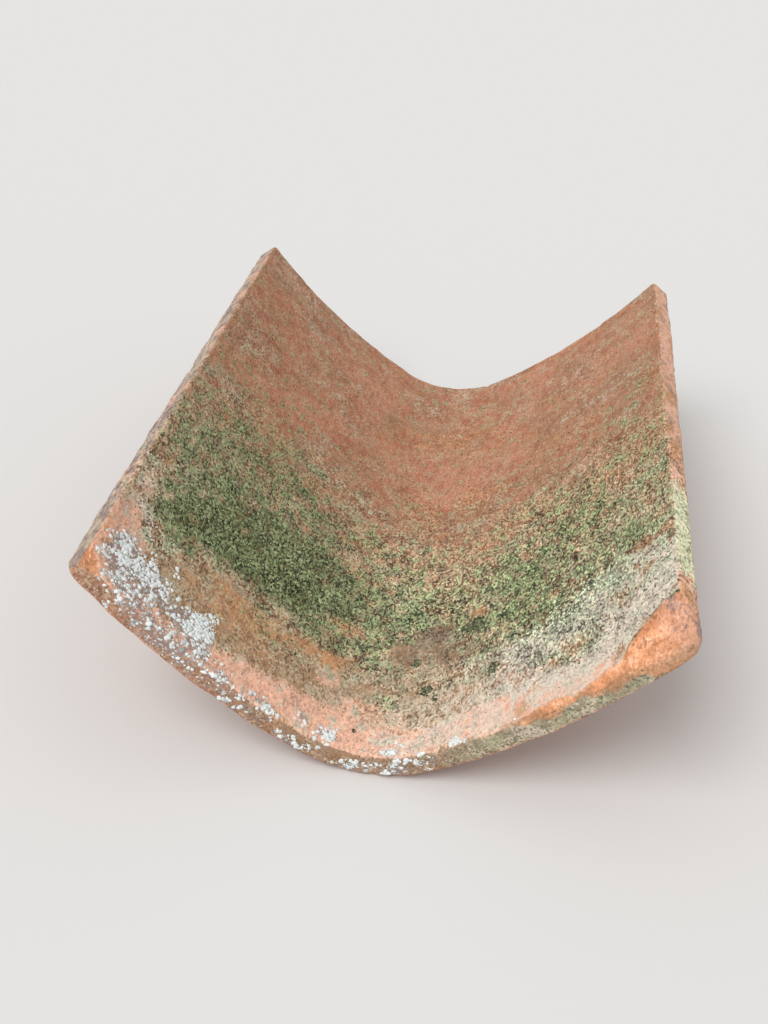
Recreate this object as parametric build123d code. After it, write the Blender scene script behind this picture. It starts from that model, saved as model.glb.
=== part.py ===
from build123d import *
import os
from math import asin, cos, degrees, radians, sin, sqrt

# A hand-made clay ridge tile: one fired piece of rounded-V section, lying on its rounded belly
# with the hollow face up. Lengths are in millimetres, angles in degrees.
# X runs across the tile, Y along it with the visible end at -Y, and Z is up.
# The origin is below the middle of the length, at the lowest line of the belly.

# Driving dimensions of the section
tile_width = 300.0        # across the outer arrises of the two long edges
tile_length = 400.0
wall = 15.0
bend_radius = 79.0        # outer radius of the rounded bend along the middle
bend_half_angle = 31.0    # slope of the wall where the bend runs into a wing
edge_angle = 52.6         # slope of the wall at a long edge

# Worn arrises and corners
arris_radius = 1.6        # along every edge of the fired piece
corner_radius = 4.0       # plan rounding of an ordinary corner
near_right_radius = 10.0  # plan rounding of the two worn corners at the visible end
near_left_radius = 9.0

# Flakes broken from the hollow face at the near end. Each left a shallow shell-shaped scoop:
# its distance along the wall from the middle line, the distance of its centre beyond the end,
# the radius of the fracture, and its depth below the hollow face at its centre.
corner_flake_arc = 198.0
corner_flake_beyond = 6.0
corner_flake_radius = 110.0
corner_flake_depth = 8.0

middle_flake_arc = 148.0
middle_flake_beyond = 20.0
middle_flake_radius = 100.0
middle_flake_depth = 4.1

end_flake_arc = 108.0
end_flake_beyond = 20.5
end_flake_radius = 105.0
end_flake_depth = 3.5

left_flake_arc = -193.0
left_flake_beyond = 4.0
left_flake_radius = 45.0
left_flake_depth = 2.8

# Worked out from the driving dimensions
bend_angle = radians(bend_half_angle)
edge_slope = radians(edge_angle)
wing_radius = (tile_width / 2 - bend_radius * sin(bend_angle)) / (sin(edge_slope) - sin(bend_angle))
wing_center_x = (bend_radius - wing_radius) * sin(bend_angle)
wing_center_z = bend_radius + (wing_radius - bend_radius) * cos(bend_angle)
bend_arc = bend_radius * bend_angle
near_end = -tile_length / 2
cap_over_scoop = 1.15     # the cutting cap stands this much wider than the scoop it leaves


def wall_slope(arc):
    """Slope of the wall, in radians, at a distance along the outer skin from the middle line."""
    distance = abs(arc)
    if distance < bend_arc:
        return distance / bend_radius
    return bend_angle + (distance - bend_arc) / wing_radius


def wall_point(slope, depth, side=1):
    """Point of the section at a slope of the wall, and a depth below the outer skin."""
    if slope < bend_angle:
        x = (bend_radius - depth) * sin(slope)
        z = bend_radius - (bend_radius - depth) * cos(slope)
    else:
        x = wing_center_x + (wing_radius - depth) * sin(slope)
        z = wing_center_z - (wing_radius - depth) * cos(slope)
    return (side * x, z)


def skin_line(depth):
    """Left wing, bend and right wing at one depth, as three tangent arcs."""
    middle_slope = (bend_angle + edge_slope) / 2
    left_wing = ThreePointArc(
        wall_point(edge_slope, depth, -1),
        wall_point(middle_slope, depth, -1),
        wall_point(bend_angle, depth, -1),
    )
    bend = ThreePointArc(
        wall_point(bend_angle, depth, -1),
        wall_point(0, depth),
        wall_point(bend_angle, depth),
    )
    right_wing = ThreePointArc(
        wall_point(bend_angle, depth),
        wall_point(middle_slope, depth),
        wall_point(edge_slope, depth),
    )
    return left_wing, bend, right_wing


def section_face():
    """Rounded-V wall with its long edges cut square to the wings."""
    outer = skin_line(0)
    inner = skin_line(wall)
    left_edge = Line(wall_point(edge_slope, 0, -1), wall_point(edge_slope, wall, -1))
    right_edge = Line(wall_point(edge_slope, 0), wall_point(edge_slope, wall))
    return make_face([*outer, *inner, left_edge, right_edge])


def pressed_blank():
    """The section drawn out along the whole length, with Z up."""
    far_end = Plane(origin=(0, tile_length / 2, 0), x_dir=(1, 0, 0), z_dir=(0, -1, 0))
    return extrude(far_end * section_face(), amount=tile_length)


def corner_edge(blank, right, near):
    """The edge across the wall at one corner of the tile."""
    x, z = wall_point(edge_slope, wall / 2, 1 if right else -1)
    y = near_end if near else -near_end
    return blank.edges().sort_by_distance((x, y, z))[0]


def is_skin(face):
    """True for a face of the outer skin or of the hollow, which all curve about the length."""
    if face.geom_type != GeomType.CYLINDER:
        return False
    return face.axis_of_rotation.is_parallel(Axis.Y)


def skin_arrises(blank):
    """Edges where a skin ends, which belong to only one skin face."""
    edges = [edge for face in blank.faces().filter_by(is_skin) for edge in face.edges()]
    return [edge for edge in edges if sum(edge.is_same(other) for other in edges) == 1]


def worn_blank():
    """The blank with its corners rounded in plan, and then every arris worn round."""
    blank = pressed_blank()
    blank = fillet(corner_edge(blank, True, True), near_right_radius)
    blank = fillet(corner_edge(blank, False, True), near_left_radius)
    for right in (True, False):
        blank = fillet(corner_edge(blank, right, False), corner_radius)
    return fillet(skin_arrises(blank), arris_radius)


def flake(arc, beyond, radius, depth):
    """Cap of a ball that cuts a shallow scoop into the hollow face near the visible end."""
    side = 1 if arc > 0 else -1
    slope = wall_slope(arc)
    x, z = wall_point(slope, wall - depth, side)
    half_width = sqrt(2 * depth / (1 / radius - 1 / (wing_radius - wall)))
    cap_angle = degrees(asin(cap_over_scoop * half_width / radius))
    lowest = (Align.CENTER, Align.CENTER, Align.MIN)
    cap = Sphere(radius, arc_size1=-90, arc_size2=cap_angle - 90, align=lowest)
    return Pos(x, near_end - beyond, z) * Rot(0, -side * degrees(slope), 0) * cap


tile = worn_blank()
tile -= flake(corner_flake_arc, corner_flake_beyond, corner_flake_radius, corner_flake_depth)
tile -= flake(middle_flake_arc, middle_flake_beyond, middle_flake_radius, middle_flake_depth)
tile -= flake(end_flake_arc, end_flake_beyond, end_flake_radius, end_flake_depth)
tile -= flake(left_flake_arc, left_flake_beyond, left_flake_radius, left_flake_depth)

os.makedirs("parts", exist_ok=True)
export_step(tile, "parts/ridge_tile.step")
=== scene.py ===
from math import cos, radians, sin, tau
from types import SimpleNamespace
import bpy
import numpy as np
from mathutils import Matrix, Vector


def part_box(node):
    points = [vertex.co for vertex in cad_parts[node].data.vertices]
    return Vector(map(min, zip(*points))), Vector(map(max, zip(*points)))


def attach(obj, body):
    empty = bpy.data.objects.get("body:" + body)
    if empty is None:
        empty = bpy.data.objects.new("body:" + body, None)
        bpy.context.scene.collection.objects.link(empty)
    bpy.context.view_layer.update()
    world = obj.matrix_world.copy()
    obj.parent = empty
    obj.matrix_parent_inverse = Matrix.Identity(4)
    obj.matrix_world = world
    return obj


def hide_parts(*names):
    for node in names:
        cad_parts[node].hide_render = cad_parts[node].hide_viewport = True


# Old hand-made clay ridge tile, lying on its belly with the hollow up.
# Metres throughout. X across, Y along (visible end at -Y), Z up, as in the frame.

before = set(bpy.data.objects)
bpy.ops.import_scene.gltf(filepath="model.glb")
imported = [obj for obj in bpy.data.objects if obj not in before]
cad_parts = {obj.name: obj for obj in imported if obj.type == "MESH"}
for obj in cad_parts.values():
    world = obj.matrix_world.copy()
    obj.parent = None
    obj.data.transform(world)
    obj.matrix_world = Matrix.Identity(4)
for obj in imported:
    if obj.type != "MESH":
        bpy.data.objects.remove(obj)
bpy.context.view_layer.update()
tileLow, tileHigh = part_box("ridge_tile")
print("frame loaded, tile", [round(high - low, 4) for low, high in zip(tileLow, tileHigh)])


# the tile's form, as it left the mould and the kiln
tile = {
    "width": 0.3,  # across the sharp outer arrises
    "length": tileHigh[1] - tileLow[1],
    "wall": 0.015,
    "bendRadius": 0.079,  # outer radius of the bend along the middle
    "bendSlope": radians(31.0),
    "edgeSlope": radians(52.6),
    "arris": 0.0028,  # usual rounding of the arrises
    "arrisSwing": 0.0012,  # and how much it varies
    "corners": {(1, -1): 0.011, (-1, -1): 0.01, (1, 1): 0.005, (-1, 1): 0.0055},
    "cells": (232, 176, 7),  # grid across, along and through the wall
}
tile["wingRadius"] = ((tile["width"] / 2 - tile["bendRadius"] * sin(tile["bendSlope"]))
                      / (sin(tile["edgeSlope"]) - sin(tile["bendSlope"])))
bendReach = tile["bendRadius"] * tile["bendSlope"]
halfAcross = bendReach + tile["wingRadius"] * (tile["edgeSlope"] - tile["bendSlope"])
halfAlong = tile["length"] / 2


def latticeNoise(u, v, seed):
    # a random height at every whole point of a lattice, joined by smooth steps, from -1 to 1
    wholeU, wholeV = np.floor(u), np.floor(v)
    restU, restV = u - wholeU, v - wholeV
    restU, restV = restU**2 * (3 - 2 * restU), restV**2 * (3 - 2 * restV)

    def height(stepU, stepV):
        mixed = np.sin((wholeU + stepU) * 127.1 + (wholeV + stepV) * 311.7 + seed * 74.7) * 43758.5453
        return mixed - np.floor(mixed)

    low = height(0, 0) * (1 - restU) + height(1, 0) * restU
    high = height(0, 1) * (1 - restU) + height(1, 1) * restU
    return 2 * (low * (1 - restV) + high * restV) - 1


def cloudNoise(u, v, seed, layers=3):
    # layers of lattice noise, each half as strong and about twice as fine as the one before
    total, strength = 0, 1.0
    for layer in range(layers):
        turn = 0.6 * layer
        turnedU = u * cos(turn) - v * sin(turn)
        turnedV = u * sin(turn) + v * cos(turn)
        total = total + strength * latticeNoise(turnedU * 2.03**layer, turnedV * 2.03**layer, seed + layer)
        strength *= 0.5
    return total / (2 - 2 * strength)


# how far the surface sinks below the true form, each kind between nothing and twice its depth:
# depth, size one way, size the other way, seed, layers
relief = {
    "waves": (0.00045, 0.06, 0.075, 1, 2),
    "grit": (0.00013, 0.0042, 0.0042, 2, 2),
    "lumps": (0.00022, 0.015, 0.019, 3, 2),
    "drag": (0.00012, 0.0035, 0.09, 6, 2),  # along the belly
    "scrape": (0.00032, 0.0065, 0.03, 7, 2),  # on the ends and long edges
    "fracture": (0.0006, 0.0055, 0.0055, 9, 2),  # in the flakes
    "ragged": (0.001, 0.017, 0.022, 12, 3),  # both ends
    "wornEdge": (0.0006, 0.025, 0.03, 13, 3),  # both long edges
    "scaly": (0.0005, 0.006, 0.008, 14, 2),
    "lumpy": (0.0006, 0.011, 0.01, 15, 2),  # left long edge
}


def sunk(kind, u, v):
    depth, sizeU, sizeV, seed, layers = relief[kind]
    return depth * (1 + cloudNoise(u / sizeU, v / sizeV, seed, layers))


def smoothRise(x, low, high):
    # 0 below low, 1 above high, and a smooth S between
    t = np.clip((x - low) / (high - low), 0, 1)
    return t * t * (3 - 2 * t)


def gradedLine(low, high, count, crowding):
    # positions whose spacing shrinks as crowding grows: equal steps of its running total
    fine = np.linspace(low, high, 6001)
    weight = crowding(fine)
    total = np.concatenate(([0], np.cumsum((weight[1:] + weight[:-1]) / 2 * np.diff(fine))))
    return np.interp(np.linspace(0, total[-1], count + 1), total, fine)


# grid lines crowd towards the arrises, the near end and the flakes
def crowdedAcross(x):
    return 1 + 1.5 * np.exp((np.abs(x) - halfAcross) / 0.003) + 0.9 * smoothRise(x, 0.125, 0.15)


def crowdedAlong(y):
    return (1 + 2.0 * np.exp((np.abs(y) - halfAlong) / 0.003) + 0.8 * (1 - smoothRise(y, -0.1, 0.02))
            + 1.3 * (1 - smoothRise(y + halfAlong, 0.03, 0.05)))


def crowdedDeep(depth):
    half = tile["wall"] / 2
    return 1 + 0.8 * np.exp((np.abs(depth - half) - half) / 0.002)


def sheet(first, second, order, fixed, flip):
    # a flat grid of quads over two of the block's directions, at a fixed place in the third, and turned
    # over where the block lies on its other side
    a, b = np.meshgrid(first, second, indexing="ij")
    points = np.empty((a.size, 3))
    points[:, order[0]], points[:, order[1]], points[:, order[2]] = a.ravel(), b.ravel(), fixed
    index = np.arange(a.size).reshape(a.shape)
    corners = [index[:-1, :-1], index[1:, :-1], index[1:, 1:], index[:-1, 1:]]
    quads = np.stack([corner.ravel() for corner in corners], axis=1)
    return points, quads[:, ::-1] if flip else quads


def blockSkin():
    # the six faces of a block, in across, along and depth, with their shared borders merged
    cellsAcross, cellsAlong, cellsDeep = tile["cells"]
    lines = [
        gradedLine(-halfAcross, halfAcross, cellsAcross, crowdedAcross),
        gradedLine(-halfAlong, halfAlong, cellsAlong, crowdedAlong),
        gradedLine(0, tile["wall"], cellsDeep, crowdedDeep),
    ]
    sheets = []
    for first, second, third in ((0, 1, 2), (1, 2, 0), (2, 0, 1)):
        for end in (-1, 0):
            order, fixed = (first, second, third), lines[third][end]
            sheets.append(sheet(lines[first], lines[second], order, fixed, flip=end == 0))
    counts = np.cumsum([0] + [len(points) for points, quads in sheets])
    points = np.vstack([points for points, quads in sheets])
    quads = np.vstack([quads + start for (corners, quads), start in zip(sheets, counts)])
    merged, place = np.unique(np.round(points, 9), axis=0, return_inverse=True)
    return merged, place.ravel()[quads]


# flakes broken off the hollow face: along the wall from the middle line, in from the near end,
# radius of the fracture, and depth at its centre
flakes = [
    (0.198, -0.006, 0.11, 0.008),
    (0.148, -0.02, 0.1, 0.0041),
    (0.108, -0.0205, 0.105, 0.0035),
    (-0.193, -0.004, 0.045, 0.0028),
]


def flakeDepth(across, inward):
    # deepest of the scoops: each is a ball's cap, its depth falling with the square of the distance,
    # more slowly across, where the wing curves with it. Above zero inside a scoop, below zero outside
    wobble = 0.00042 * cloudNoise(across / 0.011, inward / 0.011, 21)
    depth = np.full_like(across, -1.0)
    for centreAcross, centreInward, radius, deepest in flakes:
        slower = 1 - radius / (tile["wingRadius"] - tile["wall"])
        distance = (across - centreAcross)**2 * slower + (inward - centreInward)**2
        depth = np.maximum(depth, deepest - distance / (2 * radius) + wobble)
    return depth


# chips bitten from the arrises by small balls
chipping = {
    "seed": 5,
    "count": 64,  # on the near end
    "hollowShare": 0.65,  # of those, on the hollow side
    "radius": (0.005, 0.025),
    "bite": (0.0008, 0.0029),  # depth taken off the arris
    "lean": (25, 65),  # degrees off level
    "farEnd": (-0.9, -0.6, -0.2, 0.35, 0.7, 0.95),  # shares of the half width
    "farRadius": (0.01, 0.022),
    "farBite": 0.0012,
    "longEdges": (-0.93, -0.72, -0.3, 0.1, 0.44, 0.8),  # shares of the half length
    "edgeRadius": (0.008, 0.02),
    "edgeBite": 0.001,
}


def makeChips():
    # each chip is a ball, as its centre and radius, that reaches past the arris by its bite
    draw = np.random.default_rng(chipping["seed"])
    count, wall = chipping["count"], tile["wall"]
    chips = []

    def addChip(arris, away, radius, bite):
        chips.append((np.array(arris) + np.array(away) * (radius - bite), radius))

    def mostlySmall(low, high):
        return low + (high - low) * draw.random(count)**2

    across = draw.uniform(-halfAcross, halfAcross, count)
    radii = mostlySmall(*chipping["radius"])
    bites = mostlySmall(*chipping["bite"])
    for place, radius, bite in zip(across, radii, bites):
        top = draw.random() < chipping["hollowShare"]
        lean = radians(draw.uniform(*chipping["lean"]))
        up = sin(lean) if top else -sin(lean)
        addChip((place, -halfAlong, wall if top else 0), (0, -cos(lean), up), radius, bite)
    for share in chipping["farEnd"]:
        radius = draw.uniform(*chipping["farRadius"])
        addChip((share * halfAcross, halfAlong, wall), (0, 0.7, 0.7), radius, chipping["farBite"])
    for share in chipping["longEdges"]:
        side = 1 if draw.random() < 0.5 else -1
        arris = (side * halfAcross, share * halfAlong, wall)
        radius = draw.uniform(*chipping["edgeRadius"])
        addChip(arris, (side * 0.7, 0, 0.7), radius, chipping["edgeBite"])
    return chips


chips = makeChips()


def pushOut(points, centre, radius):
    # points inside the ball move straight away from its centre, onto its surface
    offset = points - centre
    distance = np.linalg.norm(offset, axis=1)
    inside = distance < radius
    points[inside] = centre + offset[inside] * (radius / distance[inside])[:, None]


def roundCorner(slab, sides, reach):
    # seen from above, the square round the corner becomes a quarter disc
    centre = np.array(sides) * (halfAcross - reach, halfAlong - reach)
    offset = (slab[:, :2] - centre) * sides
    inside = np.all(offset > 0, axis=1)
    square = offset[inside].max(axis=1)
    disc = np.linalg.norm(offset[inside], axis=1)
    slab[inside, :2] = centre + offset[inside] * (square / disc)[:, None] * sides


def bent(slab):
    # the wall bent to its section: depth is measured square to an outer skin of three tangent arcs
    distance = np.abs(slab[:, 0])
    onBend = distance < bendReach
    slope = np.where(onBend, distance / tile["bendRadius"],
                     tile["bendSlope"] + (distance - bendReach) / tile["wingRadius"])
    radius = np.where(onBend, tile["bendRadius"], tile["wingRadius"])
    centreX = (tile["bendRadius"] - radius) * sin(tile["bendSlope"])
    centreZ = tile["bendRadius"] + (radius - tile["bendRadius"]) * cos(tile["bendSlope"])
    x = centreX + (radius - slab[:, 2]) * np.sin(slope)
    z = centreZ - (radius - slab[:, 2]) * np.cos(slope)
    return np.column_stack([np.sign(slab[:, 0]) * x, slab[:, 1], z])


def sunkenBy(across, along, depth, facing, scoop):
    # all the relief of the hollow, the belly and the rim between them
    hollow = np.clip(facing[:, 2], 0, 1)
    belly = np.clip(-facing[:, 2], 0, 1)
    rim = 1 - np.abs(facing[:, 2])
    pits = 0.0007 * smoothRise(cloudNoise(across / 0.0068, along / 0.0068, 4, 1), 0.55, 0.95)
    betweenRibs = np.abs(cloudNoise((across + 0.4 * along) / 0.011, along / 0.014, 8, 2))
    broken = (0.0028 * betweenRibs + sunk("fracture", across, along)) * smoothRise(scoop, 0, 0.001)
    return (sunk("waves", across, along) * (hollow + 0.6 * belly)
            + sunk("grit", across, along + 1.05 * depth)
            + sunk("lumps", across, along) * (hollow + 0.4 * belly + 0.8 * rim)
            + pits * (hollow + 0.5 * rim)
            + sunk("drag", across, along) * belly
            + sunk("scrape", depth, along) * rim
            + broken * hollow)


def tileSkin(block):
    # a block's skin worn, roughened, flaked and chipped, as across, along and depth, and which way it faces
    wall = tile["wall"]
    low = np.array([-halfAcross, -halfAlong, 0])
    high = np.array([halfAcross, halfAlong, wall])
    across, along, depth = block.T
    swing = cloudNoise(across / 0.013 + 3, along / 0.013 + depth / 0.004, 11)
    radius = (tile["arris"] + tile["arrisSwing"] * swing)[:, None]
    core = np.clip(block, low + radius, high - radius)
    away = block - core
    facing = away / np.linalg.norm(away, axis=1)[:, None]
    scoop = flakeDepth(across, along + halfAlong)
    sink = sunkenBy(across, along, depth, facing, scoop)
    slab = core + facing * (radius - sink[:, None])
    for sides, reach in tile["corners"].items():
        roundCorner(slab, sides, reach)

    # uneven ends and long edges, worn inwards only
    nearEnd = np.exp(-(slab[:, 1] + halfAlong) / 0.01)
    farEnd = np.exp((slab[:, 1] - halfAlong) / 0.01)
    slab[:, 1] += sunk("ragged", slab[:, 0], slab[:, 2]) * (nearEnd - farEnd)
    longEdge = np.exp((np.abs(slab[:, 0]) - halfAcross) / 0.008)
    worn = (sunk("wornEdge", slab[:, 1], slab[:, 2]) + sunk("scaly", slab[:, 1], slab[:, 2])
            + sunk("lumpy", slab[:, 1], slab[:, 2]) * (slab[:, 0] < 0))
    slab[:, 0] -= np.sign(slab[:, 0]) * longEdge * worn

    # the flakes thin the wall from the hollow side
    lost = np.clip(scoop, 0, None) + 0.0009 * smoothRise(scoop, 0, 0.0004)
    slab[:, 2] *= 1 - lost / wall
    for centre, ball in chips:
        pushOut(slab, centre, ball)
    return slab, facing, scoop


def newMesh(name, points, faces, smooth=True):
    mesh = bpy.data.meshes.new(name)
    mesh.from_pydata(points.tolist(), [], faces.tolist())
    mesh.update()
    mesh.polygons.foreach_set("use_smooth", np.full(len(mesh.polygons), smooth))
    piece = bpy.data.objects.new(name, mesh)
    bpy.context.scene.collection.objects.link(piece)
    return piece


def paint(mesh, name, columns):
    # up to four masks kept on the points as one colour
    layer = mesh.attributes.new(name, "FLOAT_COLOR", "POINT")
    values = np.ones((len(mesh.vertices), 4))
    for number, column in enumerate(columns):
        values[:, number] = column
    layer.data.foreach_set("color", values.ravel())


# where the weather has worked on the hollow face and the near end, and, in some umber spots, where shadow is
# painted on it. Each spot, in millimetres: across from the middle line, in from the near end (below zero is
# down the end face), reach across, reach along. Last comes its amount in hundredths, and one below zero thins
# that growth
growthSpots = {
    "green": [
        (-150, 80, 20, 16, 75), (-120, 86, 30, 18, 85), (-85, 92, 30, 18, 85), (-50, 92, 26, 14, 40),
        (-45, 73, 16, 9, 45), (-12, 92, 22, 20, 55), (4, 106, 14, 8, 45), (56, 93, 10, 8, 75),
        (85, 92, 22, 16, 50), (110, 78, 24, 14, 30), (140, 82, 26, 20, 20), (110, 50, 20, 10, 35),
        (130, 36, 26, 7, 40), (71, 52, 6, 6, 55), (5, 42, 7, 10, 35), (-150, 60, 20, 10, 35),
        (-8, 70, 12, 12, 35), (175, 95, 16, 18, 15), (-95, 28, 14, 8, 18), (160, 58, 20, 14, 15),
        (-120, 122, 44, 26, 70), (-55, 128, 34, 24, 50), (92, 126, 36, 22, 42), (10, 124, 30, 16, 40),
        (-105, 168, 46, 24, 42), (130, 160, 30, 20, 30), (-30, 172, 40, 14, 25), (120, 62, 18, 9, 45),
        (94, 67, 12, 8, 40), (136, 48, 10, 9, 40), (104, 40, 10, 5, 45), (126, 31, 12, 4, 40),
        (2, 36, 10, 8, 25), (62, 80, 16, 8, 20), (-38, 89, 16, 7, -60), (-24, 94, 7, 12, -40),
        (32, 88, 20, 18, -50), (8, 81, 12, 9, -40), (-42, 61, 22, 6, -30), (58, 105, 6, 5, -50),
        (170, 84, 8, 12, -50), (-180, 90, 10, 30, -40), (-168, 70, 6, 8, 35), (-162, 50, 7, 6, 30),
        (-100, 18, 5, 4, 30), (-104, 67, 18, 6, -40), (-74, 73, 14, 7, -40), (-130, 72, 7, 5, -25),
        (-88, 58, 6, 10, 25), (-58, 50, 10, 6, 20), (-140, 205, 30, 30, 30), (-80, 210, 30, 22, 20),
        (150, 205, 22, 30, 26), (90, 190, 26, 18, 18), (-165, 255, 14, 34, 24), (172, 262, 12, 30, 22),
    ],
    "lichen": [
        (-171, 24, 9, 12, 130), (-151, 25, 10, 9, 120), (-160, 9, 16, 8, 55), (-117, 20, 9, 9, 160),
        (-134, 19, 12, 9, 60), (-110, 10, 8, 6, 70), (-172, 34, 8, 6, 55), (-150, 3, 22, 6, 50),
        (-120, 2, 18, 6, 50), (-93, 4, 6, 4, 75), (-68, 5, 9, 4, 65), (-45, 11, 4, 3, 85),
        (-27, 8, 8, 4, 115), (-4, 4, 3, 2, 80), (14, 4, 5, 4, 90), (55, 3, 4, 2, 80), (88, 4, 4, 3, 50),
        (-100, -6, 50, 6, 20), (-140, -6, 30, 6, 30), (-45, -9, 12, 4, 60), (-10, -10, 10, 3, 80),
        (16, -8, 10, 5, 85), (36, -5, 8, 3, 70), (52, -8, 6, 3, 45), (-75, -7, 30, 6, 24),
        (-130, -8, 40, 5, 18), (-85, 2, 30, 5, 22),
    ],
    "film": [
        (184, 66, 10, 18, 90), (176, 50, 14, 12, 115), (163, 38, 14, 9, 115), (148, 28, 16, 10, 105),
        (128, 22, 18, 9, 75), (100, 24, 20, 10, 70), (132, 58, 12, 10, 65), (106, 52, 20, 14, 90),
        (85, 57, 10, 10, 70), (150, 46, 16, 10, 55), (-164, 54, 8, 10, 60), (-173, 66, 8, 10, 50),
        (-182, 88, 10, 16, 45), (78, 34, 16, 9, 45), (30, 30, 30, 12, 30), (145, 78, 34, 18, 80),
        (120, 64, 30, 12, 45), (60, 60, 24, 14, 35), (-150, 56, 16, 8, 40), (40, 90, 30, 14, 30),
        (20, 14, 30, 8, 30),
    ],
    "salmon": [
        (-40, 20, 20, 8, 85), (-24, 14, 20, 8, 90), (-10, 8, 34, 8, 90), (40, 12, 34, 10, 75),
        (75, 18, 26, 12, 80), (108, 14, 24, 10, 85), (134, 10, 18, 8, 75), (-37, 46, 8, 6, 130),
        (-88, 14, 20, 9, 45), (-110, 4, 20, 6, 50), (-180, 48, 10, 14, 60), (-160, 8, 18, 8, 40),
        (0, 30, 30, 12, 40), (50, 40, 24, 12, 35), (-15, 34, 14, 10, 40), (-72, 14, 26, 11, 85),
        (-176, 75, 10, 30, 45), (10, 10, 30, 8, 45), (88, 40, 20, 8, 35), (-165, 40, 10, 10, 50),
        (-150, 5, 40, 10, 60), (-176, 22, 10, 20, 65), (-100, 6, 20, 8, 40), (-189, 24, 6, 26, 90),
        (138, 22, 22, 8, 60), (100, 36, 20, 9, 35), (108, 8, 30, 7, 50),
    ],
    "ochre": [
        (-98, 52, 16, 10, 80), (-115, 60, 14, 8, 60), (-75, 56, 16, 10, 55), (-54, 60, 14, 6, 85),
        (-36, 61, 8, 7, 90), (-34, 90, 13, 8, 100), (6, 84, 12, 12, 60), (-80, 36, 26, 12, 45),
        (-112, 40, 16, 8, 40), (-187, 10, 6, 16, 70), (-186, 36, 5, 12, 65), (58, 105, 6, 5, 140),
        (40, 102, 12, 6, 50), (92, 10, 6, 10, 80), (168, 88, 6, 14, 55), (-130, 46, 12, 8, 45),
        (30, 70, 16, 10, 35), (-100, 10, 10, 6, 50), (-165, 105, 12, 14, 35),
    ],
    # umber stains; the spots and bands about 80 to 110 mm in are partly painted shadow of the next tile up,
    # which the scene leaves out
    "umber": [
        (8, 80, 12, 14, 50), (33, 98, 22, 10, 75), (42, 78, 16, 8, 65), (62, 70, 14, 6, 40),
        (-104, 64, 16, 7, 35), (-92, 30, 14, 8, 15), (-50, 40, 22, 10, 20), (112, 32, 16, 5, 55),
        (-160, 18, 4, 10, 55), (18, 92, 26, 14, 45), (62, 88, 24, 14, 40), (58, 72, 20, 8, 30),
        (100, 104, 40, 8, 35), (-20, 108, 80, 10, 35), (-80, 8, 10, 5, 35), (0, 58, 34, 18, 38),
        (-22, 40, 16, 10, 25),
    ],
}


def inMetres(spots):
    # a table of spots, with its lengths turned from millimetres to metres and any amount from hundredths
    table = np.array(spots, dtype=float)
    table[:, :4] /= 1000
    table[:, 4:] /= 100
    return table


growth = {kind: inMetres(spots) for kind, spots in growthSpots.items()}


def ovalSpots(across, inward, spots):
    # sum of soft ovals, each the bell curve of its scaled distance
    total = np.zeros_like(across)
    for centreAcross, centreInward, reachAcross, reachInward, amount in spots:
        distance = ((across - centreAcross) / reachAcross)**2 + ((inward - centreInward) / reachInward)**2
        total += amount * np.exp(-distance)
    return total


def weatherMasks(across, inward):
    # each kind's own spots, over broader and fainter growth that fades into the far half
    masks = {kind: ovalSpots(across, inward, spots) for kind, spots in growth.items()}
    patchy = cloudNoise(across / 0.04, inward / 0.026, 31)
    mottled = cloudNoise(across / 0.022, inward / 0.016, 37)
    sheltered = smoothRise(inward + 0.014 * patchy, 0.034, 0.092)
    sheltered *= 1 - 0.85 * smoothRise(inward, 0.13, 0.27)
    masks["green"] = masks["green"] * 0.8 + sheltered * (0.42 + 0.24 * patchy + 0.16 * mottled)
    farHalf = smoothRise(inward, 0.11, 0.2)
    masks["ochre"] += farHalf * (0.42 + 0.5 * patchy)
    masks["umber"] += farHalf * (0.12 - 0.45 * mottled)
    masks["salmon"] += farHalf * (0.15 + 0.4 * mottled) + 0.25 * smoothRise(-inward, -0.02, 0)
    masks["film"] += farHalf * (0.04 - 0.42 * patchy)
    return masks


def brokenClay(slab, facing, scoop):
    # how deep a point lies in a flake, below zero outside one: as it is on the hollow face, creeping
    # down from the arris on an end, and never on the belly
    below = np.clip(tile["wall"] - np.clip(scoop, 0, None) - slab[:, 2], 0, None)
    creep = 0.0023 * cloudNoise(slab[:, 0] / 0.011, slab[:, 2] / 0.0055, 17, 4)
    onEnd = scoop - 0.4 * below + creep * smoothRise(below, 0, 0.003) * smoothRise(scoop, -0.0002, 0.0006)
    return np.where(facing[:, 2] > 0.35, scoop, np.where(facing[:, 2] > -0.5, onEnd, -1.0))


def mapSkin(mesh, across, inward):
    # a flat map of the skin in metres, across and inward
    layer = mesh.uv_layers.new(name="skin")
    corner = np.empty(len(mesh.loops), dtype=np.int64)
    mesh.loops.foreach_get("vertex_index", corner)
    layer.data.foreach_set("uv", np.column_stack([across, inward])[corner].ravel())


def makeTile():
    block, quads = blockSkin()
    slab, facing, scoop = tileSkin(block)
    piece = newMesh("weatheredRidgeTile", bent(slab), quads)
    mesh = piece.data
    inward = slab[:, 1] + halfAlong
    downEnd = np.where(inward < 0.004, np.minimum(inward, slab[:, 2] - tile["wall"] + 0.002), inward)
    masks = weatherMasks(slab[:, 0], downEnd)
    arris = np.abs(facing[:, 2]) * np.hypot(facing[:, 0], facing[:, 1]) * 2
    broken = np.clip(brokenClay(slab, facing, scoop), -0.005, 0.005)
    paint(mesh, "growth", [masks["green"], masks["lichen"], masks["film"]])
    paint(mesh, "clay", [masks["salmon"], masks["ochre"], 0.5 + 100 * broken])
    paint(mesh, "stainsAndShadow", [masks["umber"], arris, inward])
    paint(mesh, "facing", [0.5 + 0.5 * facing[:, 0], 0.5 + 0.5 * facing[:, 2]])
    mapSkin(mesh, slab[:, 0] + slab[:, 2], inward + slab[:, 2])
    print("tile body", len(mesh.vertices), "points,", len(mesh.polygons) * 2, "triangles")
    return piece


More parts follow.
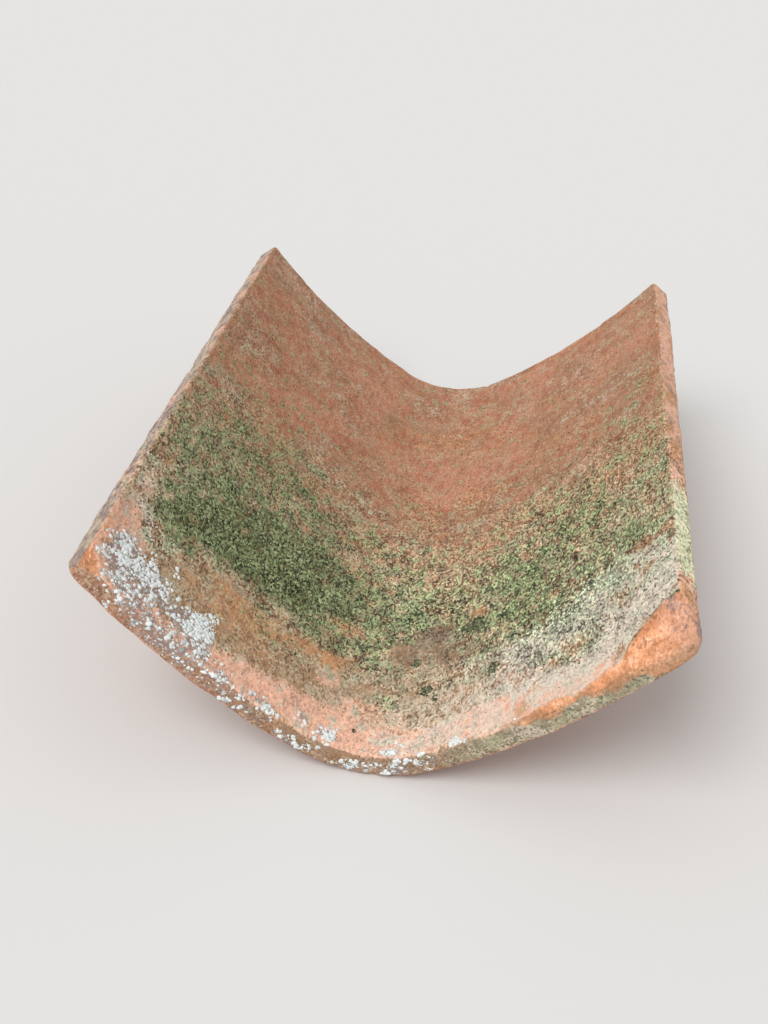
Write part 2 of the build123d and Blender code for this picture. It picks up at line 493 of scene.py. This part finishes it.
# crusts and crumbs that sit on the surface: small closed domes, each a squashed bead with a flat foot
beadShape = {
    "rings": ((0.9, -0.45), (1.0, 0.1), (0.68, 0.72)),  # radius and height, from the foot up
    "twist": 0.5,  # from ring to ring
    "stretch": (0.75, 1.25),
    "dent": (0.62, 1.15),
    "height": (0.75, 1.2),
    "step": 0.0007,  # between the places that give the slope under a bead
}


def beadTemplate(sides):
    # rings of points at three heights, then a top point and a foot point
    turn = np.arange(sides) * tau / sides
    points = []
    for radius, height in beadShape["rings"]:
        points.append(np.column_stack([radius * np.cos(turn), radius * np.sin(turn), np.full(sides, height)]))
        turn = turn + beadShape["twist"]
    points = np.vstack(points + [[(0, 0, 1.0)], [(0, 0, beadShape["rings"][0][1])]])
    side = np.arange(sides)
    following = (side + 1) % sides
    faces = []
    for ring in range(2):
        low, high = ring * sides, (ring + 1) * sides
        faces.append(np.column_stack([low + side, low + following, high + side]))
        faces.append(np.column_stack([low + following, high + following, high + side]))
    faces.append(np.column_stack([2 * sides + side, 2 * sides + following, np.full(sides, 3 * sides)]))
    faces.append(np.column_stack([following, side, np.full(sides, 3 * sides + 1)]))
    return points, np.vstack(faces)


def skinPoint(across, inward):
    # a place on the hollow face, or below zero inward, down the near end, or past the edge, down a side
    overEdge = np.clip(np.abs(across) - halfAcross, 0, None)
    block = np.column_stack([
        np.clip(across, -halfAcross, halfAcross),
        np.clip(inward, 0, None) - halfAlong,
        tile["wall"] + np.clip(inward, None, 0) - overEdge,
    ])
    return bent(tileSkin(block)[0])


def unit(vectors):
    return vectors / np.linalg.norm(vectors, axis=1)[:, None]


def scatterBeads(kind, across, inward, radius, shade):
    # every bead turned, stretched and dented at random, and set square to the surface under it
    draw = np.random.default_rng(kind["seed"] + 1)
    step = beadShape["step"]
    alongAcross = skinPoint(across + step, inward) - skinPoint(across - step, inward)
    alongInward = skinPoint(across, inward + step) - skinPoint(across, inward - step)
    normal = unit(np.cross(alongAcross, alongInward))
    first = unit(alongAcross)
    second = np.cross(normal, first)
    template, faces = beadTemplate(kind["sides"])
    count, corners = len(across), len(template)
    spin = draw.uniform(0, tau, count)[:, None]
    stretch = draw.uniform(*beadShape["stretch"], count)[:, None]
    dent = draw.uniform(*beadShape["dent"], (count, corners))
    x = template[:, 0] * stretch * dent
    y = template[:, 1] / stretch * dent
    z = template[:, 2] * draw.uniform(*beadShape["height"], (count, corners)) * kind["flatness"]
    turnedX = x * np.cos(spin) - y * np.sin(spin)
    turnedY = x * np.sin(spin) + y * np.cos(spin)
    offset = (turnedX[:, :, None] * first[:, None, :] + turnedY[:, :, None] * second[:, None, :]
              + z[:, :, None] * normal[:, None, :])
    points = skinPoint(across, inward)[:, None, :] + radius[:, None, None] * offset
    allFaces = (faces[None] + (np.arange(count) * corners)[:, None, None]).reshape(-1, 3)
    piece = newMesh(kind["name"], points.reshape(-1, 3), allFaces)
    paint(piece.data, "shade", [np.repeat(shade, corners)])
    print(kind["name"], count, "beads,", len(allFaces), "triangles")
    return piece


lichen = {
    "name": "whiteLichen",
    "centres": 560,
    "perClump": 5,
    "spread": 0.0023,  # reach of a usual clump
    "radius": (0.0004, 0.00155),
    "shade": (0.7, 0.26),  # usual shade and its spread
    "flatness": 0.42,
    "sides": 8,
    "seed": 41,
    "material": "lichenCrust",
    "tones": ((0.4, 0.43, 0.42), (0.8, 0.85, 0.84), (0.93, 0.97, 0.96)),
}


def clumped(spots, draw):
    # clump centres drawn inside the ovals by their amount, then beads round each centre
    centres, perClump = lichen["centres"], lichen["perClump"]
    weight = spots[:, 4] * spots[:, 2] * spots[:, 3]
    chosen = spots[draw.choice(len(spots), centres, p=weight / weight.sum())]
    middle = chosen[:, :2] + draw.normal(0, 0.62, (centres, 2)) * chosen[:, 2:4]
    size = draw.gamma(2.0, 0.5, centres) * chosen[:, 4]
    number = np.clip((perClump * size).astype(int), 1, 4 * perClump)
    clump = np.repeat(np.arange(centres), number)
    reach = lichen["spread"] * np.sqrt(number[clump] / perClump)
    angle = draw.uniform(0, tau, len(clump))
    distance = reach * np.sqrt(draw.random(len(clump)))
    return middle[clump, 0] + distance * np.cos(angle), middle[clump, 1] + distance * np.sin(angle)


def inBounds(across, inward):
    # clear of the corners, the long edges and the end's lower arris
    corner = (np.abs(across) > halfAcross - 0.01) & (inward < 0.008)
    return (np.abs(across) < halfAcross - 0.002) & (inward > 0.003 - tile["wall"]) & ~corner


def makeLichen():
    draw = np.random.default_rng(lichen["seed"])
    across, inward = clumped(growth["lichen"], draw)
    keep = inBounds(across, inward) & (flakeDepth(across, inward) < -0.0004)
    across, inward = across[keep], inward[keep]
    small, large = lichen["radius"]
    radius = small + (large - small) * draw.random(len(across))**2.2
    shade = np.clip(draw.normal(*lichen["shade"], len(across)), 0, 1)
    return scatterBeads(lichen, across, inward, radius, shade)


moss = {
    "name": "darkMoss",
    "cushions": inMetres([  # across, in from the near end, reach across, reach along
        (55, 93, 6, 5.2), (29, 50, 4.2, 3.4), (19, 73, 3.2, 3), (71, 51, 3.4, 3.6), (36, 43, 1.6, 2),
        (-12, 16, 1, 1),
    ]),
    "perCushion": 90,  # in the largest
    "radius": (0.00045, 0.00095),
    "flatness": 0.75,
    "sides": 6,
    "seed": 51,
    "material": "mossCushion",
    "tones": ((0.055, 0.068, 0.038), (0.115, 0.135, 0.075), (0.26, 0.27, 0.17)),
}


def makeMoss():
    draw = np.random.default_rng(moss["seed"])
    spot = np.repeat(moss["cushions"], moss["perCushion"], axis=0)
    size = spot[:, 2] * spot[:, 3]
    spot = spot[draw.random(len(spot)) < size / size.max() * 1.1 + 0.04]
    across = spot[:, 0] + draw.normal(0, 0.55, len(spot)) * spot[:, 2]
    inward = spot[:, 1] + draw.normal(0, 0.55, len(spot)) * spot[:, 3]
    radius = draw.uniform(*moss["radius"], len(spot))
    return scatterBeads(moss, across, inward, radius, draw.random(len(spot)))


crumbs = {
    "name": "greenCrumbs",
    "count": 5200,
    "radius": (0.00028, 0.0006),
    "flatness": 0.7,
    "sides": 5,
    "seed": 61,
    "everywhere": 0,
    "where": {"green": 0.8},
    "material": "greenCrumb",
    "tones": ((0.03, 0.038, 0.016), (0.09, 0.105, 0.04), (0.26, 0.27, 0.12)),
}
sand = {
    "name": "sandGrains",
    "count": 4000,
    "radius": (0.00022, 0.00052),
    "flatness": 0.6,
    "sides": 5,
    "seed": 71,
    "everywhere": 0.14,
    "where": {"film": 0.75, "green": -0.12},
    "material": "sandGrain",
    "tones": ((0.3, 0.22, 0.14), (0.62, 0.54, 0.42), (0.8, 0.74, 0.62)),
}


def strew(kind):
    # grains strewn outside the flakes, thicker or thinner with the weather masks
    draw = np.random.default_rng(kind["seed"])
    tries, margin = kind["count"] * 6, 0.003
    across = draw.uniform(-halfAcross + margin, halfAcross - margin, tries)
    inward = margin + 0.36 * draw.random(tries)**1.5
    masks = weatherMasks(across, inward)
    density = kind["everywhere"]
    for name, weight in kind["where"].items():
        density = density + weight * masks[name]
    keep = draw.random(tries) < np.clip(density, 0, 1) * (flakeDepth(across, inward) < -0.0003)
    across, inward = across[keep][:kind["count"]], inward[keep][:kind["count"]]
    radius = draw.uniform(*kind["radius"], len(across))
    return scatterBeads(kind, across, inward, radius, draw.random(len(across)))


# small tools for building materials
def put(kind, sockets=None, tree=None, **settings):
    # a new node, in the tree named or in that of the first socket it is linked from
    sockets = sockets or {}
    linked = [value for value in sockets.values() if isinstance(value, bpy.types.NodeSocket)]
    tree = tree or linked[0].id_data
    node = tree.nodes.new("ShaderNode" + kind)
    for name, value in settings.items():
        setattr(node, name, value)
    for name, value in sockets.items():
        if isinstance(value, bpy.types.NodeSocket):
            tree.links.new(value, node.inputs[name])
        else:
            node.inputs[name].default_value = value
    return node


def scaled(place, scale):
    return put("Mapping", {"Vector": place, "Scale": scale}).outputs[0]


def noiseOf(place, size, detail, roughness, warp=0.0):
    sockets = {"Vector": place, "Scale": 1 / size, "Detail": detail}
    sockets |= {"Roughness": roughness, "Distortion": warp}
    return put("TexNoise", sockets).outputs[0]


def cellsOf(place, size, output):
    return put("TexVoronoi", {"Vector": place, "Scale": 1 / size}).outputs[output]


def grainOf(place, size):
    # one random value from 0 to 1 for every cell
    return put("SeparateColor", {0: cellsOf(place, size, "Color")}).outputs[0]


def mathOf(operation, first, second=0.0, clamp=False):
    return put("Math", {0: first, 1: second}, operation=operation, use_clamp=clamp).outputs[0]


def plus(first, second):
    return mathOf("ADD", first, second)


def minus(first, second):
    return mathOf("SUBTRACT", first, second)


def times(first, *others):
    for other in others:
        first = mathOf("MULTIPLY", first, other)
    return first


def without(amount):
    return mathOf("SUBTRACT", 1.0, amount, True)


def blend(amount, under, over, mode="MIX"):
    return put("Mix", {0: amount, 6: under, 7: over}, data_type="RGBA", blend_type=mode).outputs[2]


def layered(surface, *layers):
    # from the bottom up: each layer's amount and tone, and its way of blending where it isn't a plain mix
    for amount, over, *mode in layers:
        surface = blend(amount, surface, over, *mode)
    return surface


def rampOf(value, stops):
    node = put("ValToRGB", {0: value})
    ramp = node.color_ramp
    while len(ramp.elements) < len(stops):
        ramp.elements.new(0.5)
    for element, (position, colour) in zip(ramp.elements, stops):
        element.position, element.color = position, (*colour, 1)
    return node.outputs[0]


def maskOf(tree, name):
    colour = put("Attribute", tree=tree, attribute_name=name).outputs["Color"]
    parts = put("SeparateColor", {0: colour})
    return parts.outputs[0], parts.outputs[1], parts.outputs[2]


def newMaterial(name):
    material = bpy.data.materials.new(name)
    material.use_nodes = True
    return material, material.node_tree.nodes["Principled BSDF"]


def placeOf(tree):
    return put("TexCoord", tree=tree).outputs["Object"]


def coat(shader, colour, height, finish):
    # colour, gloss and bump on a shader
    tree = shader.id_data
    sockets = {"Height": height, "Distance": finish["bumpDepth"], "Strength": finish["bump"]}
    tree.links.new(put("Bump", sockets).outputs[0], shader.inputs["Normal"])
    tree.links.new(colour, shader.inputs["Base Color"])
    shader.inputs["Roughness"].default_value = finish["roughness"]
    shader.inputs["Specular IOR Level"].default_value = finish["specular"]


clayFinish = {"roughness": 0.92, "specular": 0.25, "bumpDepth": 0.0003, "bump": 1.0}
beadFinish = {"roughness": 0.95, "specular": 0.15, "bumpDepth": 0.0003, "bump": 0.7}

# colours of the clay, of what grows on it, and of painted shadow, as linear light
clayColours = {
    "brick": (0.42, 0.155, 0.09),
    "terracotta": (0.56, 0.255, 0.155),
    "buff": (0.54, 0.395, 0.255),
    "greyBuff": (0.57, 0.475, 0.345),
    "brown": (0.41, 0.25, 0.14),
    # dark umber, used for stains and for painted shadow
    "umber": (0.15, 0.1, 0.062),
    "salmon": (0.85, 0.49, 0.35),
    "pinkWhite": (0.78, 0.585, 0.475),
    "ochre": (0.62, 0.315, 0.155),
    "fresh": (0.88, 0.4, 0.205),
    "freshPale": (0.95, 0.57, 0.38),
    "freshDark": (0.6, 0.26, 0.125),
    # painted shadow line along the biggest flake's step
    "crack": (0.093, 0.076, 0.042),
    "film": (0.74, 0.665, 0.555),
    "taupe": (0.35, 0.245, 0.175),
    "mauve": (0.31, 0.235, 0.225),
    "roseGrey": (0.4, 0.29, 0.255),
    "greenGrey": (0.38, 0.36, 0.25),
    "greenDark": (0.036, 0.052, 0.022),
    "green": (0.12, 0.16, 0.068),
    "greenBright": (0.2, 0.25, 0.125),
    "greenPale": (0.37, 0.415, 0.245),
    "mint": (0.54, 0.58, 0.44),
    "lichen": (0.78, 0.8, 0.79),
    "lichenShade": (0.3, 0.31, 0.29),
    "yellowLichen": (0.8, 0.81, 0.54),
}
tone = SimpleNamespace(**{name: (*colour, 1) for name, colour in clayColours.items()})

# how much each kind of grain darkens or brightens the clay, as its pattern goes up
grainLevels = {
    "grains": [(0.04, 0.34), (0.25, 0.78), (0.45, 0.97), (0.96, 1.28)],
    "specks": [(0.3, 0.8), (0.5, 1.0), (0.7, 1.14)],
    "sprinkled": [(0.04, 0.26), (0.3, 0.8), (0.62, 1.06), (0.96, 2.0)],
    "clots": [(0.26, 0.46), (0.42, 0.86), (0.52, 1.0), (0.72, 1.32)],
    "flecks": [(0.1, 0.6), (0.36, 0.88), (0.58, 1.04), (0.9, 1.42)],
}

# patterns in the clay: what they are drawn on, size (1 on a scaled map), detail, roughness and warp
clayPatterns = {
    "broad": ("place", 0.055, 3, 0.5, 0.3),
    "blotch": ("place", 0.017, 4, 0.6, 0.3),
    "hairline": ("place", 0.022, 4, 0.6, 0.6),
    "cluster": ("drawnOut", 0.0075, 3, 0.6),
    "dapple": ("drawnOut", 0.0058, 3, 0.6),
    "fine": ("drawnOut", 0.0027, 2, 0.6),
    "speck": ("drawnOut", 0.0013, 3, 0.7),
    "streak": ("streaked", 1.0, 4, 0.6),
    "scale": ("scaly", 1.0, 4, 0.65, 0.4),
    "drag": ("dragged", 1.0, 4, 0.6, 0.2),
}
grainSize, coarseSize, crustSize = 0.0009, 0.00155, 0.0024


class Clay(SimpleNamespace):
    # every pattern and mask that the clay's colours are made from, by name

    def rough(self, mask, **swings):
        # pushed up and down by patterns that swing about a half, each by its own amount
        for pattern, amount in swings.items():
            mask = plus(mask, times(minus(getattr(self, pattern), 0.5), amount))
        return mask

    def rise(self, mask, low, high, floor=0.0, top=1.0, **swings):
        # a smooth S from floor to top as the roughened mask goes from low to high
        sockets = {"Value": self.rough(mask, **swings), "From Min": low, "From Max": high}
        sockets |= {"To Min": floor, "To Max": top}
        return put("MapRange", sockets, interpolation_type="SMOOTHSTEP").outputs[0]


def readPatterns(c, tree):
    # the finer ones are drawn out a little along the tile, where the rain runs
    place = placeOf(tree)
    skin = put("UVMap", tree=tree, uv_map="skin").outputs[0]
    places = {
        "place": place,
        "drawnOut": scaled(place, (1, 0.6, 0.8)),
        "streaked": scaled(skin, (26, 110, 1)),
        "scaly": scaled(skin, (420, 90, 1)),
        "dragged": scaled(skin, (260, 9, 1)),
    }
    for name, (drawnOn, *shape) in clayPatterns.items():
        setattr(c, name, noiseOf(places[drawnOn], *shape))
    c.grain = grainOf(places["drawnOut"], grainSize)
    c.coarse = grainOf(places["drawnOut"], coarseSize)
    c.crust = cellsOf(place, crustSize, "Distance")
    c.across = put("SeparateXYZ", {0: skin}).outputs[0]


def readMasks(c, tree):
    # what is painted on the points
    c.green, c.lichen, c.film = maskOf(tree, "growth")
    c.salmon, c.ochre, scoop = maskOf(tree, "clay")
    c.umber, c.arris, c.inward = maskOf(tree, "stainsAndShadow")
    faceAcross, faceUp = maskOf(tree, "facing")[:2]
    c.farHalf = c.rise(c.inward, 0.11, 0.22, broad=0.16)
    c.dusty = minus(plus(c.green, times(minus(c.film, c.salmon), 0.5)), times(c.ochre, 0.35))

    # which face a point is on, with frayed borders along the arrises
    c.hollow = c.rise(faceUp, 0.64, 0.84, dapple=0.4, fine=0.25)
    c.belly = c.rise(faceUp, 0.38, 0.14, dapple=0.4, fine=0.25)
    c.rim = without(plus(c.hollow, c.belly))
    c.rightSide = times(c.rise(faceAcross, 0.64, 0.84, dapple=0.4), c.rim)
    c.leftSide = times(c.rise(faceAcross, 0.36, 0.16, dapple=0.4), c.rim)

    # the flakes, by depth in millimetres: a sharp border on the hollow face, a worn one on the end
    c.scoop = times(minus(scoop, 0.5), 10.0)
    c.scoopEdge = c.rough(c.scoop, dapple=0.8, fine=0.7)
    sharp = times(c.rise(c.scoopEdge, 0.0, 0.18), c.hollow)
    frayed = c.rise(c.scoop, -0.15, 1.15, dapple=1.5, blotch=1.6, fine=1.1)
    c.fresh = plus(sharp, times(frayed, without(c.hollow)))
    c.old = times(c.hollow, without(c.fresh))  # the hollow face outside the flakes


def hollowSkin(c):
    # brown, buff and grey buff, with salmon, ochre, pale film, and umber stains with painted shadow, over
    # them
    paler = plus(c.rough(c.dapple, blotch=0.9, coarse=0.12), c.rise(c.across, -0.01, 0.06, -0.12, 0.08))
    film = c.rough(c.film, dapple=1.9, fine=1.3, grain=0.45, streak=1.0, blotch=0.8)
    return layered(
        tone.brown,
        (c.rise(c.blotch, 0.36, 0.62, streak=0.6), tone.buff),
        (c.rise(c.dapple, 0.44, 0.66, 0, 0.85, broad=0.9, streak=0.6, grain=0.4), tone.greyBuff),
        (c.rise(c.salmon, 0.18, 0.8, blotch=1.4, dapple=0.9, grain=0.22),
         blend(c.rise(paler, 0.4, 0.6), tone.salmon, tone.pinkWhite)),
        (c.rise(c.ochre, 0.22, 0.95, 0, 0.9, blotch=1.3, fine=0.7, coarse=0.25), tone.ochre),
        (c.rise(film, 0.22, 0.75, 0, 0.88), tone.film),
        # umber stains, and painted shadow of the next tile up far in the hollow
        (c.rise(c.umber, 0.25, 0.95, 0, 0.7, dapple=1.4, coarse=0.45, grain=0.45, streak=0.8), tone.umber))


def endClay(c):
    # near and far ends: taupe, browner to the left and greyer green to the right
    toRight = c.rise(c.across, 0.02, 0.1, 0, 0.8, blotch=0.08)
    return layered(
        tone.brown,
        (c.rise(c.fine, 0.34, 0.66, blotch=0.8), tone.taupe),
        (toRight, tone.greenGrey),
        (times(toRight, c.rise(c.dapple, 0.48, 0.66, 0, 0.8, blotch=0.9, grain=0.3)), tone.greenPale),
        (times(toRight, c.rise(c.dapple, 0.5, 0.64, 0, 0.8, blotch=-1.1, grain=0.3)), tone.film),
        (c.rise(c.across, -0.04, -0.1, 0, 0.55, blotch=0.14, fine=0.08), tone.terracotta),
        (c.rise(c.dapple, 0.52, 0.76, 0, 0.6, grain=0.4), tone.greyBuff))


def leftClay(c):
    # the left long edge: scaly, with flushes of salmon
    return layered(
        tone.mauve,
        (c.rise(c.scale, 0.36, 0.64, dapple=0.9), tone.greyBuff),
        (c.rise(c.blotch, 0.5, 0.64, 0, 0.7), tone.salmon))


def rightClay(c):
    # the right long edge: ruddier, with a yellow crust past the flaked corner
    reach = times(c.rise(c.inward, 0.042, 0.052, dapple=0.03), c.rise(c.inward, 0.15, 0.11, dapple=0.05))
    return layered(
        tone.salmon,
        (c.rise(c.blotch, 0.42, 0.62, fine=0.6), tone.ochre),
        (c.rise(c.dapple, 0.54, 0.64, 0, 0.6), tone.mauve),
        (c.rise(reach, 0.34, 0.72, 0, 0.95, dapple=1.4, fine=1.2, speck=1.4), tone.yellowLichen))


def wholeSkin(c):
    # bare clay under everything, barer in the far half of the hollow, with bloom and grime on the belly
    barer = times(c.farHalf, c.rise(c.blotch, 0.38, 0.62, 0.4, 0.92, broad=0.8))
    bloom = c.rise(c.rise(c.broad, 0.44, 0.66), 0.35, 1.05, 0, 0.62, blotch=0.9, drag=1.0, speck=0.8)
    grime = c.rise(c.rise(c.broad, 0.52, 0.38), 0.55, 1.25, 0, 0.5, dapple=1.0, drag=1.2, speck=0.9)
    rubbed = c.rise(c.dapple, 0.48, 0.66, 0, 0.65, blotch=1.2, grain=0.2)
    return layered(
        tone.brick,
        (c.rise(c.broad, 0.36, 0.64, dapple=0.5), tone.terracotta),
        (times(c.hollow, minus(0.97, barer)), hollowSkin(c)),
        (times(c.belly, bloom), tone.buff),
        (times(c.belly, grime), tone.umber),
        (times(c.rim, 0.92), endClay(c)),
        (times(c.leftSide, 0.95), leftClay(c)),
        (times(c.rightSide, 0.95), rightClay(c)),
        (times(c.arris, rubbed), tone.salmon))


def freshClay(c):
    # bright clay in the flakes, with painted shade on their sheer sides, dirty at the end and spotted at the
    # long edge
    # painted shade on the sheer wall just inside the flakes' upper border
    steepShade = c.rise(c.scoop, 1.5, 0.1, 0, 0.6, dapple=1.4, fine=0.8)
    dirty = c.rise(c.inward, 0.008, 0.001, 0, 0.65, blotch=0.012, dapple=0.008)
    spotted = c.rise(c.dapple, 0.5, 0.66, 0, 0.8, blotch=0.9)
    hairline = c.rise(mathOf("ABSOLUTE", minus(c.hairline, 0.5)), 0.012, 0.0, 0, 0.7)
    return layered(
        tone.freshDark,
        (c.rise(c.blotch, 0.4, 0.6, dapple=0.8), tone.fresh),
        (c.rise(c.dapple, 0.5, 0.72, 0, 0.8, speck=0.8), tone.freshPale),
        (c.rise(c.broad, 0.5, 0.36, 0, 0.45, blotch=0.8), tone.freshDark),
        (c.rise(c.across, 0.176, 0.192, 0, 0.55, blotch=0.04), tone.salmon),
        (times(steepShade, c.rise(c.inward, 0.008, 0.022, blotch=0.02)), tone.freshDark),
        (times(dirty, c.rise(c.across, -0.175, -0.15, 0.25, 1.0)), tone.brown),
        (times(spotted, c.rise(c.across, 0.184, 0.19)), tone.mauve),
        (times(hairline, c.rise(c.blotch, 0.5, 0.62)), tone.umber))


def stepShadowAmount(c):
    # a painted shadow line follows the sheer step along the upper border of the biggest flake
    line = without(c.rise(mathOf("ABSOLUTE", c.scoopEdge), 0.03, 0.24))
    return times(line, c.rise(c.inward, 0.008, 0.022, 0.25, 1.0, blotch=0.02), c.hollow,
                 c.rise(c.blotch, 0.4, 0.56, 0, 0.85))


def pepperAmount(c):
    # how thick sand, dirt and pores lie: thinner on clean clay, far in, below, at the near right, in flakes
    rinsed = times(c.rise(c.across, 0.06, 0.11), c.rise(c.inward, 0.038, 0.022, blotch=0.02), c.old)
    return times(c.rise(c.dusty, -0.4, 0.35, 0.46, 1.0, blotch=0.9), c.rise(c.farHalf, 0.2, 1.0, 1.0, 0.5),
                 c.rise(c.belly, 0, 1, 1.0, 0.4), c.rise(rinsed, 0, 1, 1.0, 0.4),
                 c.rise(c.fresh, 0, 1, 1.0, 0.6))


def clotAmount(c):
    # dirt caught in the growth, in clots of a few millimetres, washed off at the right
    return times(c.rise(c.dusty, -0.1, 0.5, 0.1, 1.0), c.old,
                 c.rise(c.across, 0.138, 0.168, 1.0, 0.2, blotch=0.04),
                 c.rise(c.across, -0.08, 0.02, 0.6, 1.0))


def fleckAmount(c):
    # finer flecks in the right half of the growth
    growing = minus(c.green, times(c.film, 0.6))
    return times(c.rise(c.across, -0.05, 0.05, 0, 0.8), c.rise(growing, 0.0, 0.5), c.old)


def greenTones(c, green):
    # paler where thin, with brighter, browner and darker grains, chalky under the film
    lively = c.rough(c.dapple, blotch=1.0, fine=0.6, grain=0.25)
    sprinkled = c.rough(c.grain, coarse=0.12, speck=1.3)
    return layered(
        tone.greenPale,
        (c.rise(green, 0.4, 1.15, grain=0.5), tone.green),
        (c.rise(lively, 0.46, 0.7, 0, 0.85), tone.greenBright),
        (c.rise(lively, 0.4, 0.16, 0, 0.55), tone.brown),
        (c.rise(c.grain, 0.52, 0.14, 0, 0.85, coarse=0.4, fine=0.8, dapple=0.5), tone.greenDark),
        (c.rise(c.film, 0.3, 1.00, 0, 0.5, dapple=0.9, grain=0.5), tone.mint),
        (1.0, levelsOf(sprinkled, "sprinkled"), "MULTIPLY"))


def levelsOf(pattern, kind):
    return rampOf(pattern, [(position, (level, level, level)) for position, level in grainLevels[kind]])


def makeClay():
    material, shader = newMaterial("weatheredClay")
    c = Clay()
    readPatterns(c, material.node_tree)
    readMasks(c, material.node_tree)
    green = c.rough(c.green, dapple=1.7, fine=1.3, blotch=1.2, grain=0.45, coarse=0.35, streak=0.8)
    crumb = c.rise(c.crust, 0.5, 0.22, speck=0.8)
    lichenOn = c.rough(times(c.lichen, without(c.belly)), fine=1.1, speck=0.9)
    paler = c.rise(c.inward, 0.04, 0.014, 1.0, 1.12, blotch=0.02)  # towards the near end
    grains = levelsOf(c.rough(c.grain, cluster=1.2), "grains")
    clots = levelsOf(c.rough(c.cluster, blotch=0.45, fine=0.6, grain=0.22), "clots")
    flecks = levelsOf(c.rough(c.grain, fine=1.5, dapple=0.7), "flecks")
    surface = layered(
        wholeSkin(c),
        (c.fresh, freshClay(c)),
        # painted shadow line along the step of the biggest flake
        (stepShadowAmount(c), tone.crack),
        (c.hollow, paler, "MULTIPLY"),
        (pepperAmount(c), grains, "MULTIPLY"),
        (1.0, levelsOf(c.speck, "specks"), "MULTIPLY"),
        (times(c.rise(green, 0.1, 1.00, 0, 0.92), c.old), greenTones(c, green)),
        (clotAmount(c), clots, "MULTIPLY"),
        (fleckAmount(c), flecks, "MULTIPLY"),
        (c.rise(lichenOn, 0.36, 0.8, 0, 0.85),
         blend(c.rise(c.dapple, 0.36, 0.64, grain=0.4), tone.mauve, tone.roseGrey)),
        (times(c.rise(lichenOn, 0.36, 0.8), crumb),
         blend(c.rise(crumb, 0.35, 0.8, grain=0.7), tone.lichenShade, tone.lichen)))
    height = c.rough(times(c.speck, 0.6), fine=0.9, dapple=1.0)
    height = plus(height, times(c.rise(lichenOn, 0.3, 0.6), crumb, 0.5))
    height = plus(height, times(green, c.old, 0.12))
    coat(shader, surface, height, clayFinish)
    return material


def makeBeadMaterial(kind):
    # each bead has its own shade between three tones, with finer mottling over it
    material, shader = newMaterial(kind["material"])
    tree = material.node_tree
    mottle = noiseOf(placeOf(tree), 0.0009, 2, 0.6)
    amount = plus(maskOf(tree, "shade")[0], times(minus(mottle, 0.5), 0.7))
    coat(shader, rampOf(amount, list(zip((0.1, 0.5, 0.9), kind["tones"]))), mottle, beadFinish)
    return material


def finishOn(piece, material):
    piece.data.materials.append(material)
    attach(piece, "root")


tilePiece = makeTile()
finishOn(tilePiece, makeClay())
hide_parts("ridge_tile")
finishOn(makeLichen(), makeBeadMaterial(lichen))
finishOn(makeMoss(), makeBeadMaterial(moss))
finishOn(strew(crumbs), makeBeadMaterial(crumbs))
finishOn(strew(sand), makeBeadMaterial(sand))
print("clay and growth finished")


# plain pale floor, soft studio light
studio = {
    "floorSize": 80.0,
    "floorColour": (0.8, 0.79, 0.775),
    "floorRoughness": 0.9,
    "floorSpecular": 0.1,
    "skyStrength": 0.6,
    "sunStrength": 1.5,
    "sunSpread": radians(38.0),
    "sunFrom": (-0.9, -1.2, 2.1),
    "backdropColour": (0.79, 0.785, 0.775),
}


def makeFloor():
    half = studio["floorSize"] / 2
    corners = np.array([(-half, -half, 0), (half, -half, 0), (half, half, 0), (-half, half, 0)])
    floor = newMesh("studioFloor", corners, np.array([[0, 1, 2, 3]]), smooth=False)
    material, shader = newMaterial("paleFloor")
    shader.inputs["Base Color"].default_value = (*studio["floorColour"], 1)
    shader.inputs["Roughness"].default_value = studio["floorRoughness"]
    shader.inputs["Specular IOR Level"].default_value = studio["floorSpecular"]
    floor.data.materials.append(material)


def makeSky():
    world = bpy.data.worlds.new("softSky")
    bpy.context.scene.world = world
    world.use_nodes = True
    tree = world.node_tree
    sky = tree.nodes["Background"]
    sky.inputs["Color"].default_value = (1, 1, 1, 1)
    sky.inputs["Strength"].default_value = studio["skyStrength"]
    # what the camera and reflections see past the floor is the floor's own brightness
    backdrop = put("Background", {"Color": (*studio["backdropColour"], 1), "Strength": 1.0}, tree)
    rays = put("LightPath", tree=tree).outputs
    seen = mathOf("ADD", rays["Is Camera Ray"], rays["Is Glossy Ray"], True)
    seen = mathOf("ADD", seen, rays["Is Transmission Ray"], True)
    mixed = put("MixShader", {0: seen, 1: sky.outputs[0], 2: backdrop.outputs[0]})
    tree.links.new(mixed.outputs[0], tree.nodes["World Output"].inputs["Surface"])


def makeSun():
    lamp = bpy.data.lights.new("softSun", "SUN")
    lamp.energy, lamp.angle = studio["sunStrength"], studio["sunSpread"]
    sun = bpy.data.objects.new("softSun", lamp)
    sun.location = studio["sunFrom"]
    sun.rotation_euler = (-sun.location).to_track_quat("-Z", "Y").to_euler()
    bpy.context.scene.collection.objects.link(sun)


# the photograph's station, aimed at the tile, with the photograph's lean
viewpoint = {
    "station": (0.0564, -0.6279, 0.4526),
    "aim": (-0.02, -0.02, 0.04),
    "lean": radians(2.8),
    "focalPixels": 1210.0,
    "longSidePixels": 1024,
    "sensorWidth": 36.0,  # millimetres
    "nearest": 0.01,
}


def makeCamera():
    lens = bpy.data.cameras.new("camera")
    lens.sensor_fit, lens.sensor_width = "AUTO", viewpoint["sensorWidth"]
    lens.lens = viewpoint["sensorWidth"] * viewpoint["focalPixels"] / viewpoint["longSidePixels"]
    lens.clip_start = viewpoint["nearest"]
    camera = bpy.data.objects.new("camera", lens)
    bpy.context.scene.collection.objects.link(camera)
    look = Vector(viewpoint["aim"]) - Vector(viewpoint["station"])
    turn = look.to_track_quat("-Z", "Y").to_matrix().to_4x4() @ Matrix.Rotation(viewpoint["lean"], 4, "Z")
    camera.matrix_world = Matrix.Translation(viewpoint["station"]) @ turn
    bpy.context.scene.camera = camera


makeFloor()
makeSky()
makeSun()
makeCamera()
bpy.context.scene.view_settings.view_transform = "Standard"
print("studio ready")
